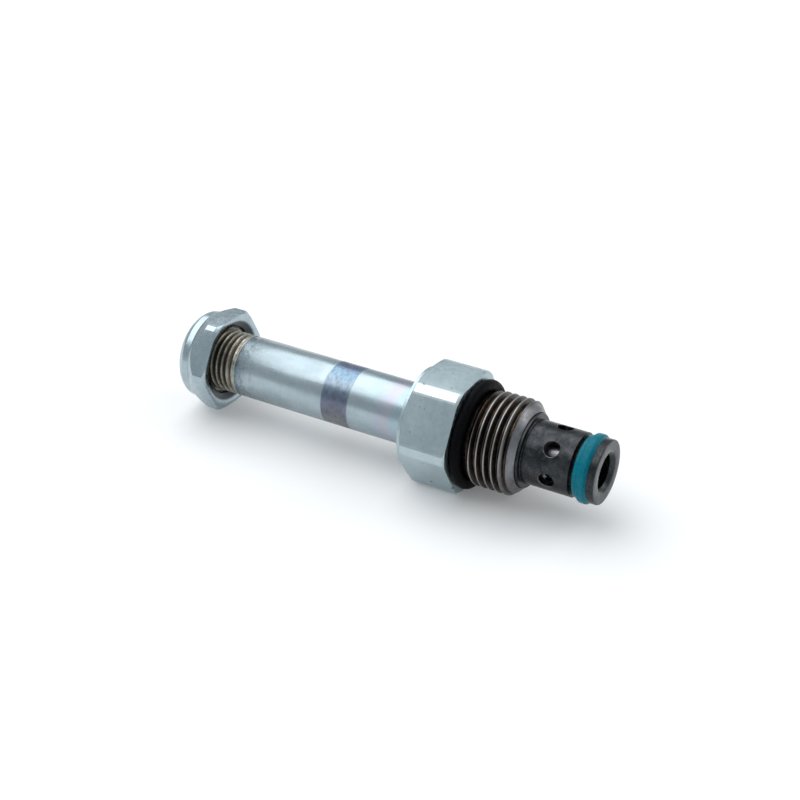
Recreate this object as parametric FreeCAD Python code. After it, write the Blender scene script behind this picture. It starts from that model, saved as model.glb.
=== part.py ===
"""Two-way, normally closed, pilot-operated solenoid cartridge valve, size 08, without its coil.

Units are millimetres. The valve's axis is X, with the nose at +X and the coil nut at -X.
The origin is on the axis, in the plane where the hexagon seats on the manifold.
The hexagon has a flat facing down, so the valve lies on a bench with +Z up.
"""
import FreeCAD, Part
import math
import os

from FreeCAD import Vector

INCH = 25.4
AXIS = Vector(1, 0, 0)

# Running fits and the small air gaps between pieces that touch.
RUNNING_GAP = 0.05
CUT_MARGIN = 0.1
HELIX_TURN = 37.0
SEAT_GAP = 0.03
LOOSE_GAP = 0.05

# Hexagon adapter: 7/8 inch across flats, 3/4-16 UNF thread.
HEX_FLATS = 7 / 8 * INCH
HEX_CORNER_R = 12.35
HEX_LENGTH = 11.2
WASHER_FACE_R = 10.53
WASHER_FACE_HEIGHT = 0.65
HEX_BEVEL_LENGTH = 1.05
HEX_SEAT_BEVEL = 0.45
RELIEF_R = 8.6
RELIEF_END = 3.3
PORT_THREAD_R = 3 / 4 * INCH / 2
PORT_PITCH = INCH / 16
PORT_GROOVE_START = 1.70
PORT_TURNS = 7
PORT_THREAD_END = 10.7
LIP_R = 7.66
LIP_END = 12.4
TUBE_SOCKET_END = -2.0
WEB_BORE_R = 5.3
WEB_END = 3.0
CAGE_SOCKET_R = 7.45

# Guide tube, non-magnetic ring and pole piece share one outer diameter of half an inch.
TUBE_R = INCH / 4
TUBE_BORE_R = 5.2
TUBE_TOP = -24.95
RING_TOP = -31.0
POLE_SHOULDER = -51.8
POLE_BEVEL = 0.3
POLE_FACE = -27.5
POLE_POCKET_DEPTH = 3.0

# Stud on the pole piece: 1/2-20 UNF.
STUD_R = INCH / 4
STUD_PITCH = INCH / 20
STUD_END = -64.1
STUD_GROOVE_START = -65.48
STUD_TURNS = 9.5
STUD_THREAD_END = -63.5
STUD_POINT_R = 5.4
STUD_BEVEL = 0.3

# Coil nut: 3/4 inch across flats, thin, with a nylon locking ring in its collar.
NUT_FLATS = 3 / 4 * INCH
NUT_FRONT = -56.3
NUT_CORNER_R = 10.7
NUT_FRONT_R = 9.9
NUT_FRONT_BEVEL = 0.5
NUT_CONE_START = -59.0
NUT_CONE_ANGLE = 33.0
NUT_COLLAR_R = 9.1
NUT_LIP_START = -62.9
NUT_REAR = -64.6
NUT_FLAT_TURN = 27.0
NUT_MOUTH_R = 8.9
NUT_SINK_R = 7.2
NUT_SINK_DEPTH = 1.0
NUT_SINK_FLOOR = -57.8
NUT_MINOR_R = 5.79
NUT_MAJOR_R = 6.46
NUT_FLANK_GAP = 0.07
NUT_GROOVE_TURNS = 4
NUT_GROOVE_LEAD = 2.5
LOCK_POCKET_R = 7.9
LOCK_POCKET_START = -61.6
LOCK_POCKET_END = -63.9
LOCK_LIP_R = 6.9
LOCK_BORE_R = 6.43

# Cage: the ported sleeve that carries the main seat and the nose seal.
CAGE_START = 3.05
COLLAR_END = 12.9
COLLAR_R = 7.4
CAGE_R = INCH / 4
CAGE_BORE_R = 4.75
CHAMBER_START = 16.2
CHAMBER_END = 20.45
CHAMBER_R = 5.1
SIDE_PORT_R = INCH / 16
SIDE_PORT_X = 18.35
SIDE_PORT_COUNT = 6
SIDE_PORT_TURN = 13.0
SEAT_R = 3.1
SEAT_X = 21.15
THROAT_END = 22.2
NOSE_BORE_R = 3.4
NOSE_MOUTH_R = 4.04
NOSE_MOUTH_DEPTH = 0.85
SEAL_GROOVE_START = 22.64
SEAL_GROOVE_END = 26.36
SEAL_GROOVE_R = 5.2
NOSE_END = 27.85
NOSE_BEVEL = 0.2

# Seals.
HEX_SEAL_CORD = 2.3
TUBE_SEAL_CORD = 1.2
TUBE_SEAL_GROOVE = (-8.5, -5.7)
TUBE_SEAL_GROOVE_R = 7.6
BACKUP_LENGTH = 1.2
NOSE_SEAL_START = 23.3
NOSE_SEAL_END = 26.3
NOSE_SEAL_SHOULDER_R = 6.22
NOSE_SEAL_EDGE_R = 6.05
NOSE_SEAL_CROWN_R = 6.82
NOSE_SEAL_CROWN = (24.75, 25.2)

# Wire rings that hold the tube and the cage in the adapter.
WIRE = 0.8
TUBE_RING_X = -3.6
TUBE_RING_R = 6.5
CAGE_RING_X = 6.4
CAGE_RING_R = 7.45
RING_SPLIT = 1.6

# Armature, pilot pin and the pin that links them to the poppet.
ARMATURE_TOP = -25.45
ARMATURE_END = -3.4
ARMATURE_POCKET_R = 2.6
ARMATURE_POCKET_END = -13.4
ARMATURE_SLOT_WIDTH = 1.4
ARMATURE_SLOT_DEPTH = 0.8
DISC_THICKNESS = 0.15
DISC_R = 4.9
DISC_BORE_R = 2.9
PILOT_PIN_R = 1.5
PILOT_PIN_TOP = -9.0
PILOT_TIP_R = 0.35
PILOT_TIP_LENGTH = 1.6
PILOT_SEAT_X = 12.6
LINK_PIN_R = 0.6
LINK_PIN_X = 8.6
LINK_PIN_REACH = 4.2
LINK_HOLE_R = 1.1

# Main poppet.
POPPET_TOP = 5.6
POPPET_LAND_END = 11.0
POPPET_RELIEF_R = 4.45
POPPET_SHANK_START = 16.4
POPPET_SHANK_R = 3.9
POPPET_CONE_START = 20.1
POPPET_TIP = 22.4
POPPET_TIP_R = 2.0
POPPET_POCKET_R = 2.1
POPPET_DRAIN_R = 1.1
BLEED_R = 0.35
BLEED_X = 11.7
JET_R = 1.7
JET_LENGTH = 2.2
JET_HOLE_R = 0.5

# Springs: wire diameter, mean radius, ends, working turns.
RETURN_SPRING = {"wire": 0.5, "radius": 2.2, "start": -30.45, "end": -13.45, "turns": 10}
POPPET_SPRING = {"wire": 0.4, "radius": 2.75, "start": -3.35, "end": 5.55, "turns": 6}


def turned(outline):
    """A solid turned about X from a closed outline of (x, radius) points."""
    points = [Vector(x, 0, radius) for x, radius in outline]
    face = Part.Face(Part.makePolygon(points + points[:1]))
    return face.revolve(Vector(0, 0, 0), AXIS, 360)


def rod(radius, start, end):
    """A cylinder on the axis."""
    return Part.makeCylinder(radius, end - start, Vector(start, 0, 0), AXIS)


def tube(outer, inner, start, end):
    """A plain ring or sleeve on the axis."""
    return rod(outer, start, end).cut(rod(inner, start - 1, end + 1))


def o_ring(x, radius, cord):
    """A ring of round section: mean radius and cord diameter."""
    return Part.makeTorus(radius, cord / 2, Vector(x, 0, 0), AXIS)


def hexagon(flats, start, end, flat_turn):
    """A hexagonal bar. flat_turn is the angle of one flat's normal from +Y towards +Z."""
    corner = flats / math.sqrt(3)
    angles = [math.radians(flat_turn + 30 + 60 * k) for k in range(6)]
    points = [Vector(start, corner * math.cos(a), corner * math.sin(a)) for a in angles]
    face = Part.Face(Part.makePolygon(points + points[:1]))
    return face.extrude(Vector(end - start, 0, 0))


def helix_sweep(section, start, pitch, turns, radius):
    """Sweeps a section, given as (axial, radial) points, along a right-hand helix about X."""
    path = Part.makeHelix(pitch, pitch * turns, radius)
    corners = [Vector(r, 0, axial) for axial, r in section]
    outline = Part.makePolygon(corners + corners[:1])
    solid = Part.Wire(path.Edges).makePipeShell([outline], True, True)
    solid.rotate(Vector(0, 0, 0), Vector(0, 1, 0), 90)
    solid.rotate(Vector(0, 0, 0), AXIS, HELIX_TURN)
    solid.translate(Vector(start + pitch * HELIX_TURN / 360, 0, 0))
    return solid


def pitch_radius(major, pitch):
    """Radius where ridge and groove of a 60 degree thread are equally wide."""
    return major - 0.375 * math.sqrt(3) / 2 * pitch


def outer_groove(start, major, pitch, turns):
    """The 60 degree V cut out of a bar to leave an external thread."""
    middle = pitch_radius(major, pitch)
    root = major - 0.6134 * pitch
    mouth = major + CUT_MARGIN
    slope = math.tan(math.radians(30))
    root_half = pitch / 4 - (middle - root) * slope
    mouth_half = pitch / 4 + (mouth - middle) * slope
    section = [(-root_half, root), (root_half, root), (mouth_half, mouth), (-mouth_half, mouth)]
    return helix_sweep(section, start, pitch, turns, root)


def cut_groove(body, groove):
    """Cuts a helical groove and stops if the cut left the body unchanged."""
    result = body.cut(groove)
    if result.Volume > body.Volume - 0.5 * groove.Volume:
        raise ValueError("a thread groove was not cut")
    return result


def inner_groove(start, major, pitch, turns):
    """The V cut out of the nut's bore, with a flank gap so the nut turns freely."""
    middle = pitch_radius(major, pitch)
    slope = math.tan(math.radians(30))
    mouth = NUT_MINOR_R - CUT_MARGIN
    mouth_half = pitch / 4 + (middle - mouth) * slope + NUT_FLANK_GAP
    top_half = pitch / 4 - (NUT_MAJOR_R - middle) * slope + NUT_FLANK_GAP
    section = [(-mouth_half, mouth), (-top_half, NUT_MAJOR_R), (top_half, NUT_MAJOR_R), (mouth_half, mouth)]
    return helix_sweep(section, start, pitch, turns, mouth)


def split_ring(x, radius):
    """A wire snap ring with a gap."""
    ring = o_ring(x, radius, WIRE)
    gap = Part.makeBox(2 * WIRE, RING_SPLIT, 2 * radius, Vector(x - WIRE, -RING_SPLIT / 2, 0))
    return ring.cut(gap)


def coil_spring(wire, radius, start, end, turns):
    """An open compression spring of round wire, held between two planes."""
    low = start + wire / 2
    pitch = (end - start - wire) / turns
    path = Part.makeHelix(pitch, pitch * turns, radius)
    circle = Part.Circle(Vector(radius, 0, 0), Vector(0, 1, 0), wire / 2)
    spring = Part.Wire(path.Edges).makePipeShell([Part.Wire(circle.toShape())], True, True)
    spring.rotate(Vector(0, 0, 0), Vector(0, 1, 0), 90)
    spring.translate(Vector(low, 0, 0))
    return spring


def make_hex_adapter():
    """Hexagon, O-ring relief, port thread and the sockets for the tube and the cage."""
    bevel_end = -HEX_LENGTH + WASHER_FACE_HEIGHT + HEX_BEVEL_LENGTH
    seat_r = HEX_CORNER_R - HEX_SEAT_BEVEL
    socket_r = TUBE_R + LOOSE_GAP
    head = turned([
        (-HEX_LENGTH, 0),
        (-HEX_LENGTH, WASHER_FACE_R),
        (-HEX_LENGTH + WASHER_FACE_HEIGHT, WASHER_FACE_R),
        (bevel_end, HEX_CORNER_R),
        (-HEX_SEAT_BEVEL, HEX_CORNER_R),
        (0, seat_r),
        (0, 0),
    ])
    head = head.common(hexagon(HEX_FLATS, -HEX_LENGTH, 0, 30))
    shank = turned([
        (-1, 0),
        (-1, RELIEF_R),
        (RELIEF_END - 0.6, RELIEF_R),
        (RELIEF_END, PORT_THREAD_R - 0.3),
        (RELIEF_END + 0.3, PORT_THREAD_R),
        (PORT_THREAD_END, PORT_THREAD_R),
        (LIP_END, LIP_R),
        (LIP_END, 0),
    ])
    body = head.fuse(shank)
    bore = turned([
        (-HEX_LENGTH - 1, 0),
        (-HEX_LENGTH - 1, socket_r),
        (TUBE_SOCKET_END, socket_r),
        (TUBE_SOCKET_END, WEB_BORE_R),
        (WEB_END, WEB_BORE_R),
        (WEB_END, CAGE_SOCKET_R),
        (LIP_END + 1, CAGE_SOCKET_R),
        (LIP_END + 1, 0),
    ])
    body = body.cut(bore)
    seal_start, seal_end = TUBE_SEAL_GROOVE
    body = body.cut(tube(TUBE_SEAL_GROOVE_R, TUBE_R, seal_start, seal_end))
    reach = WIRE / 2 + LOOSE_GAP
    body = body.cut(rod(TUBE_RING_R + reach, TUBE_RING_X - reach, TUBE_RING_X + reach))
    body = body.cut(rod(CAGE_RING_R + reach, CAGE_RING_X - reach, CAGE_RING_X + reach))
    return cut_groove(body, outer_groove(PORT_GROOVE_START, PORT_THREAD_R, PORT_PITCH, PORT_TURNS))


def make_guide_tube():
    """Magnetic lower tube that guides the armature."""
    body = tube(TUBE_R, TUBE_BORE_R, TUBE_TOP, TUBE_SOCKET_END)
    reach = WIRE / 2 + LOOSE_GAP
    groove = tube(TUBE_R + 1, TUBE_RING_R - reach, TUBE_RING_X - reach, TUBE_RING_X + reach)
    return body.cut(groove)


def make_isolation_ring():
    """Non-magnetic ring between the pole piece and the guide tube."""
    return tube(TUBE_R, TUBE_BORE_R, RING_TOP, TUBE_TOP)


def make_pole_piece():
    """Fixed magnetic plug with the stud for the coil nut."""
    spigot_r = TUBE_BORE_R - LOOSE_GAP / 2
    stud = rod(STUD_R, STUD_THREAD_END, POLE_SHOULDER)
    stud = cut_groove(stud, outer_groove(STUD_GROOVE_START, STUD_R, STUD_PITCH, STUD_TURNS))
    point = turned([
        (STUD_END, 0),
        (STUD_END, STUD_POINT_R - STUD_BEVEL),
        (STUD_END + STUD_BEVEL, STUD_POINT_R),
        (STUD_THREAD_END, STUD_POINT_R),
        (STUD_THREAD_END, 0),
    ])
    plug = turned([
        (POLE_SHOULDER - POLE_BEVEL, 0),
        (POLE_SHOULDER - POLE_BEVEL, TUBE_R - 2 * POLE_BEVEL),
        (POLE_SHOULDER, TUBE_R - POLE_BEVEL),
        (POLE_SHOULDER + POLE_BEVEL, TUBE_R),
        (RING_TOP, TUBE_R),
        (RING_TOP, spigot_r),
        (POLE_FACE, spigot_r),
        (POLE_FACE, 0),
    ])
    pocket = rod(ARMATURE_POCKET_R, POLE_FACE - POLE_POCKET_DEPTH, POLE_FACE + 1)
    return stud.fuse([point, plug.cut(pocket)])


def make_residual_disc():
    """Thin non-magnetic shim that keeps the armature from sticking to the pole."""
    return tube(DISC_R, DISC_BORE_R, POLE_FACE, POLE_FACE + DISC_THICKNESS)


def make_armature():
    """Sliding magnetic plunger with its spring pocket and two oil slots."""
    radius = TUBE_BORE_R - RUNNING_GAP
    bevel = 0.3
    body = turned([
        (ARMATURE_TOP, 0),
        (ARMATURE_TOP, radius - bevel),
        (ARMATURE_TOP + bevel, radius),
        (ARMATURE_END - bevel, radius),
        (ARMATURE_END, radius - bevel),
        (ARMATURE_END, 0),
    ])
    body = body.cut(rod(ARMATURE_POCKET_R, ARMATURE_TOP - 1, ARMATURE_POCKET_END))
    body = body.cut(rod(PILOT_PIN_R, PILOT_PIN_TOP, ARMATURE_END + 1))
    length = ARMATURE_END - ARMATURE_TOP + 2
    for side in (-1, 1):
        centre = side * radius
        low = Vector(ARMATURE_TOP - 1, centre - ARMATURE_SLOT_DEPTH, -ARMATURE_SLOT_WIDTH / 2)
        body = body.cut(Part.makeBox(length, 2 * ARMATURE_SLOT_DEPTH, ARMATURE_SLOT_WIDTH, low))
    return body


def make_pilot_pin():
    """Hardened pin pressed into the armature; its cone closes the pilot jet."""
    cone_start = PILOT_SEAT_X - SEAT_GAP - PILOT_TIP_LENGTH
    body = turned([
        (PILOT_PIN_TOP, 0),
        (PILOT_PIN_TOP, PILOT_PIN_R),
        (cone_start, PILOT_PIN_R),
        (PILOT_SEAT_X - SEAT_GAP, PILOT_TIP_R),
        (PILOT_SEAT_X - SEAT_GAP, 0),
    ])
    return body.cut(link_bar(LINK_PIN_R, LINK_PIN_REACH + 1))


def link_bar(radius, reach):
    """A bar across the axis, where the link pin runs."""
    return Part.makeCylinder(radius, 2 * reach, Vector(LINK_PIN_X, -reach, 0), Vector(0, 1, 0))


def make_link_pin():
    """Cross pin that lets the armature lift the poppet after the pilot has opened."""
    return link_bar(LINK_PIN_R, LINK_PIN_REACH)


def make_main_poppet():
    """Poppet with its guide land, oil relief, seating cone and pilot passage."""
    land_r = CAGE_BORE_R - RUNNING_GAP
    body = turned([
        (POPPET_TOP, 0),
        (POPPET_TOP, land_r - 0.2),
        (POPPET_TOP + 0.2, land_r),
        (POPPET_LAND_END, land_r),
        (POPPET_LAND_END + 0.2, POPPET_RELIEF_R),
        (POPPET_SHANK_START, POPPET_RELIEF_R),
        (POPPET_SHANK_START + 0.4, POPPET_SHANK_R),
        (POPPET_CONE_START, POPPET_SHANK_R),
        (POPPET_TIP, POPPET_TIP_R),
        (POPPET_TIP, 0),
    ])
    body = body.cut(rod(POPPET_POCKET_R, POPPET_TOP - 1, PILOT_SEAT_X))
    body = body.cut(rod(JET_R, PILOT_SEAT_X - 0.5, PILOT_SEAT_X + JET_LENGTH))
    body = body.cut(rod(POPPET_DRAIN_R, PILOT_SEAT_X, POPPET_TIP + 1))
    body = body.cut(link_bar(LINK_HOLE_R, CAGE_BORE_R + 1))
    bleed = Part.makeCylinder(BLEED_R, CAGE_BORE_R + 1, Vector(BLEED_X, 0, 0), Vector(0, 0, 1))
    return body.cut(bleed)


def make_pilot_jet():
    """Pressed-in jet with the pilot seat."""
    return tube(JET_R, JET_HOLE_R, PILOT_SEAT_X, PILOT_SEAT_X + JET_LENGTH)


def make_cage():
    """Ported cage with the collar, the main seat, the seal groove and the nose."""
    body = turned([
        (CAGE_START, CAGE_BORE_R),
        (CAGE_START, COLLAR_R),
        (COLLAR_END, COLLAR_R),
        (COLLAR_END, CAGE_R),
        (SEAL_GROOVE_START, CAGE_R),
        (SEAL_GROOVE_START, SEAL_GROOVE_R),
        (SEAL_GROOVE_END, SEAL_GROOVE_R),
        (SEAL_GROOVE_END, CAGE_R),
        (NOSE_END - NOSE_BEVEL, CAGE_R),
        (NOSE_END, CAGE_R - NOSE_BEVEL),
        (NOSE_END, NOSE_MOUTH_R),
        (NOSE_END - NOSE_MOUTH_DEPTH, NOSE_BORE_R),
        (THROAT_END, NOSE_BORE_R),
        (THROAT_END, SEAT_R),
        (SEAT_X, SEAT_R),
        (CHAMBER_END, CHAMBER_R),
        (CHAMBER_START, CHAMBER_R),
        (CHAMBER_START, CAGE_BORE_R),
    ])
    reach = WIRE / 2 + LOOSE_GAP
    groove = tube(COLLAR_R + 1, CAGE_RING_R - reach, CAGE_RING_X - reach, CAGE_RING_X + reach)
    body = body.cut(groove)
    for k in range(SIDE_PORT_COUNT):
        angle = math.radians(SIDE_PORT_TURN + 360 / SIDE_PORT_COUNT * k)
        outward = Vector(0, math.cos(angle), math.sin(angle))
        body = body.cut(Part.makeCylinder(SIDE_PORT_R, CAGE_R + 1, Vector(SIDE_PORT_X, 0, 0), outward))
    return body


def make_nose_seal():
    """One-piece polyurethane seal with a raised crown between two sloping shoulders."""
    base = SEAL_GROOVE_R + LOOSE_GAP
    crown_start, crown_end = NOSE_SEAL_CROWN
    return turned([
        (NOSE_SEAL_START, base),
        (NOSE_SEAL_START, NOSE_SEAL_EDGE_R),
        (crown_start - 0.3, NOSE_SEAL_SHOULDER_R),
        (crown_start, NOSE_SEAL_CROWN_R),
        (crown_end, NOSE_SEAL_CROWN_R),
        (crown_end + 0.3, NOSE_SEAL_SHOULDER_R),
        (NOSE_SEAL_END, NOSE_SEAL_EDGE_R),
        (NOSE_SEAL_END, base),
    ])


def make_hex_o_ring():
    """O-ring that seals the port, on the relief under the hexagon."""
    return o_ring(HEX_SEAL_CORD / 2, RELIEF_R + LOOSE_GAP + HEX_SEAL_CORD / 2, HEX_SEAL_CORD)


def make_tube_o_ring():
    """O-ring between the guide tube and the adapter."""
    x = TUBE_SEAL_GROOVE[1] - TUBE_SEAL_CORD / 2 - LOOSE_GAP
    return o_ring(x, (TUBE_R + TUBE_SEAL_GROOVE_R) / 2, TUBE_SEAL_CORD)


def make_tube_backup_ring():
    """Backup ring on the outer side of the tube O-ring."""
    start = TUBE_SEAL_GROOVE[0] + LOOSE_GAP
    return tube(TUBE_SEAL_GROOVE_R - LOOSE_GAP, TUBE_R + LOOSE_GAP, start, start + BACKUP_LENGTH)


def make_coil_nut():
    """Thin hexagon nut with a conical shoulder, a collar and a rolled-over lip."""
    cone_length = (NUT_CORNER_R - NUT_COLLAR_R) / math.tan(math.radians(NUT_CONE_ANGLE))
    body = turned([
        (NUT_FRONT, 0),
        (NUT_FRONT, NUT_FRONT_R),
        (NUT_FRONT - NUT_FRONT_BEVEL, NUT_CORNER_R),
        (NUT_CONE_START, NUT_CORNER_R),
        (NUT_CONE_START - cone_length, NUT_COLLAR_R),
        (NUT_LIP_START, NUT_COLLAR_R),
        (NUT_LIP_START - 0.9, NUT_COLLAR_R - 0.6),
        (NUT_REAR + 0.15, NUT_COLLAR_R - 1.4),
        (NUT_REAR, NUT_COLLAR_R - 1.65),
        (NUT_REAR, 0),
    ])
    body = body.common(hexagon(NUT_FLATS, NUT_REAR, NUT_FRONT, NUT_FLAT_TURN))
    bore = turned([
        (NUT_FRONT + 1, 0),
        (NUT_FRONT + 1, NUT_MOUTH_R),
        (NUT_FRONT, NUT_MOUTH_R),
        (NUT_FRONT - NUT_SINK_DEPTH, NUT_SINK_R),
        (NUT_SINK_FLOOR, NUT_SINK_R),
        (NUT_SINK_FLOOR, NUT_MINOR_R),
        (LOCK_POCKET_START, NUT_MINOR_R),
        (LOCK_POCKET_START, LOCK_POCKET_R),
        (LOCK_POCKET_END, LOCK_POCKET_R),
        (LOCK_POCKET_END, LOCK_LIP_R),
        (NUT_REAR - 1, LOCK_LIP_R),
        (NUT_REAR - 1, 0),
    ])
    body = body.cut(bore)
    start = STUD_GROOVE_START + NUT_GROOVE_LEAD * STUD_PITCH
    return cut_groove(body, inner_groove(start, STUD_R, STUD_PITCH, NUT_GROOVE_TURNS))


def make_nut_lock_ring():
    """Nylon locking ring held in the nut's collar."""
    outer = LOCK_POCKET_R - LOOSE_GAP
    return tube(outer, LOCK_BORE_R, LOCK_POCKET_END + LOOSE_GAP, LOCK_POCKET_START - LOOSE_GAP)


NODES = {
    "hex_adapter": make_hex_adapter,
    "guide_tube": make_guide_tube,
    "isolation_ring": make_isolation_ring,
    "pole_piece": make_pole_piece,
    "residual_disc": make_residual_disc,
    "armature": make_armature,
    "pilot_pin": make_pilot_pin,
    "link_pin": make_link_pin,
    "return_spring": lambda: coil_spring(**RETURN_SPRING),
    "poppet_spring": lambda: coil_spring(**POPPET_SPRING),
    "main_poppet": make_main_poppet,
    "pilot_jet": make_pilot_jet,
    "cage": make_cage,
    "cage_snap_ring": lambda: split_ring(CAGE_RING_X, CAGE_RING_R),
    "tube_snap_ring": lambda: split_ring(TUBE_RING_X, TUBE_RING_R),
    "nose_seal": make_nose_seal,
    "hex_o_ring": make_hex_o_ring,
    "tube_o_ring": make_tube_o_ring,
    "tube_backup_ring": make_tube_backup_ring,
    "coil_nut": make_coil_nut,
    "nut_lock_ring": make_nut_lock_ring,
}

os.makedirs("parts", exist_ok=True)
for node, make in NODES.items():
    shape = make()
    if not shape.isValid():
        raise ValueError(node + " is not a valid solid")
    print(node, "solids", len(shape.Solids), "volume", round(shape.Volume, 2))
    shape.exportStep("parts/" + node + ".step")
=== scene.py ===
"""Looks for a size 08 solenoid cartridge valve: detailed meshes and materials around its CAD frame.

Outlines are in millimetres, as (x, radius) along and from the valve's axis, and become metres in the mesh.
Angles are about +X, from +Y towards +Z.
"""
import math

import bmesh
import bpy
from mathutils import Matrix, Vector

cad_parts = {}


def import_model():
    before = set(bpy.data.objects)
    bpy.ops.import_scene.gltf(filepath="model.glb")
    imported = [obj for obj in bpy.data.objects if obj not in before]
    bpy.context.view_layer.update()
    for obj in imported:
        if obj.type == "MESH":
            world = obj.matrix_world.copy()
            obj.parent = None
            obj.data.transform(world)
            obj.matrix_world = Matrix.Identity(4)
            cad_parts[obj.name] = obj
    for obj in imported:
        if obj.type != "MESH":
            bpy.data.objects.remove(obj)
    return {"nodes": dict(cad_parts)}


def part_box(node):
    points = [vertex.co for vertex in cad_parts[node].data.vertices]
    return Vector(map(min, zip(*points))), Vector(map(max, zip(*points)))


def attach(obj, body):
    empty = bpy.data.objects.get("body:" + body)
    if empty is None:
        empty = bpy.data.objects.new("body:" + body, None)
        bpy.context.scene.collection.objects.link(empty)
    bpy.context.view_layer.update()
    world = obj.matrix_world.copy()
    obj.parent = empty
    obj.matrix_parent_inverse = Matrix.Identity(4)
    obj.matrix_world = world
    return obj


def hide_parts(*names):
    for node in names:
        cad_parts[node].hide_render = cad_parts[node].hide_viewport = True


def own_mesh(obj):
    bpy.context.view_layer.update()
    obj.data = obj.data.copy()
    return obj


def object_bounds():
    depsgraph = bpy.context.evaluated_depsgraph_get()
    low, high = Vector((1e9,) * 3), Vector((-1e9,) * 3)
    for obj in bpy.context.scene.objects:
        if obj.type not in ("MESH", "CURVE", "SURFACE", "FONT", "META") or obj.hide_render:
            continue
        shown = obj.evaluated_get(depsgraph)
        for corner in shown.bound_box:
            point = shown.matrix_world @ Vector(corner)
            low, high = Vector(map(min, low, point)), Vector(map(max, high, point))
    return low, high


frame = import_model()
cad_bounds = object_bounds()

MM = 0.001
TAU = 2 * math.pi
SLOPE_60 = math.tan(math.radians(30))
MERGE = 0.002


def ends(node):
    """A CAD node's first and last x, and how high it reaches above the axis, in millimetres."""
    low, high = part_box(node)
    return low[0] / MM, high[0] / MM, high[2] / MM


# ---- sizes read from the frame, millimetres ----
ADAPTER_START, LIP_END, HEX_HALF_FLATS = ends("hex_adapter")
HEX_CORNER_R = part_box("hex_adapter")[1][1] / MM
NUT_REAR, NUT_FRONT, _ = ends("coil_nut")
STUD_END, POLE_FACE, TUBE_R = ends("pole_piece")
RING_START, RING_END, _ = ends("isolation_ring")
TUBE_START, TUBE_END, _ = ends("guide_tube")
CAGE_START, NOSE_END, COLLAR_R = ends("cage")
SEAL_START, SEAL_END, SEAL_CROWN_R = ends("nose_seal")
O_RING_START, O_RING_END, O_RING_R = ends("hex_o_ring")
LOCK_START, LOCK_END, LOCK_R = ends("nut_lock_ring")
SPRING_START, SPRING_END, SPRING_R = ends("return_spring")

# ---- sizes of details, millimetres ----
TUBE_BORE_R = 5.2
SPIGOT_R = 5.17
POCKET_R = 2.6
POCKET_DEPTH = 3.0
POLE_SHOULDER = -51.8
WASHER_R = 10.53
WASHER_HEIGHT = 0.65
HEX_TURN = 30.0
HEX_BEVEL_LENGTH = 1.05
SEAT_BEVEL = 0.45
RELIEF_R = 8.6
RELIEF_END = 2.7
TUBE_SOCKET_R = 6.4
CAGE_SOCKET_R = 7.45
TUBE_SEAL_GROOVE = (-8.5, -5.7)
TUBE_SEAL_GROOVE_R = 7.6
TUBE_RING_X, TUBE_RING_R = -3.6, 6.5
CAGE_RING_X = 6.4
WIRE_SEAT = 0.45
WEB_START, WEB_END, WEB_R = -2.0, 3.0, 5.3
PORT_R = 9.525
PORT_PITCH = 1.5875
PORT_PHASE = 1.70
PORT_END = 10.7
LIP_R = 7.66
STUD_R = 6.35
STUD_PITCH = 1.27
STUD_PHASE = -66.75
STUD_START = -63.5
STUD_POINT_R = 5.4
RUNOUT_START = -53.9
RUNOUT_END = -52.2
NUT_HALF_FLATS = 9.525
NUT_CORNER_R = 10.7
NUT_TURN = 27.0
NUT_FRONT_R = 9.9
NUT_BEVEL = 0.5
NUT_CONE_START = -59.0
NUT_CONE_SLOPE = math.tan(math.radians(33))
NUT_COLLAR_R = 9.1
NUT_MOUTH_R = 8.9
NUT_SINK_R = 7.2
NUT_SINK_DEPTH = 1.0
NUT_SINK_FLOOR = -57.8
NUT_MINOR_R = 5.79
NUT_MAJOR_R = 6.46
NUT_FLANK_GAP = 0.07
NUT_LEAD = 3.5
LOCK_POCKET_R = 7.9
LOCK_LIP_R = 6.9
LOCK_BORE_R = 6.43
CAGE_R = 6.35
CAGE_BORE_R = 4.75
COLLAR_END = 12.9
CHAMBER_START, CHAMBER_END, CHAMBER_R = 16.2, 20.5, 5.1
HOLE_R = 1.5875
HOLE_X = 18.35
HOLE_TURN = 13.0
HOLE_COUNT = 6
HOLE_RIM = 0.1
SEAT_X, SEAT_R, THROAT_END = 21.15, 3.1, 22.2
NOSE_MOUTH_R = 4.04
NOSE_MOUTH_DEPTH = 0.85
NOSE_BORE_R = 3.4
GROOVE_START, GROOVE_END, GROOVE_R = 22.64, 26.36, 5.2
SPRING_WIRE = 0.5
SPRING_TURNS = 10


# ---------------------------------------------------------------- mesh tools

def rounded(outline, radii, steps=3):
    """The open outline with its inner corners as arcs. radii is one radius, or one for each inner corner."""
    points = [Vector(p) for p in outline]
    if not isinstance(radii, (list, tuple)):
        radii = [radii] * (len(points) - 2)
    result = [tuple(points[0])]
    for before, corner, after, radius in zip(points, points[1:], points[2:], radii):
        a, b = before - corner, after - corner
        turn = math.pi - a.angle(b, math.pi)
        if turn < 0.1 or radius == 0:
            result.append(tuple(corner))
            continue
        reach = min(radius * math.tan(turn / 2), 0.45 * a.length, 0.45 * b.length)
        first = corner + a.normalized() * reach
        last = corner + b.normalized() * reach
        for k in range(steps + 1):
            t = k / steps
            result.append(tuple(first * (1 - t) ** 2 + corner * 2 * t * (1 - t) + last * t ** 2))
    result.append(tuple(points[-1]))
    return result


def place(x, radius, theta):
    """A point at an angle round the axis, in metres."""
    return Vector((x * MM, radius * math.cos(theta) * MM, radius * math.sin(theta) * MM))


def rings(outline, skin=0):
    """Rows of constant x and radius. A row is (function of theta, material of the band after it)."""
    return [((lambda theta, x=x, r=r: (x, r)), skin) for x, r in outline]


def even_angles(count, start=0.0):
    """Column angles for a full turn, with the first one repeated at the end."""
    return [math.radians(start) + TAU * k / count for k in range(count + 1)]


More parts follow.
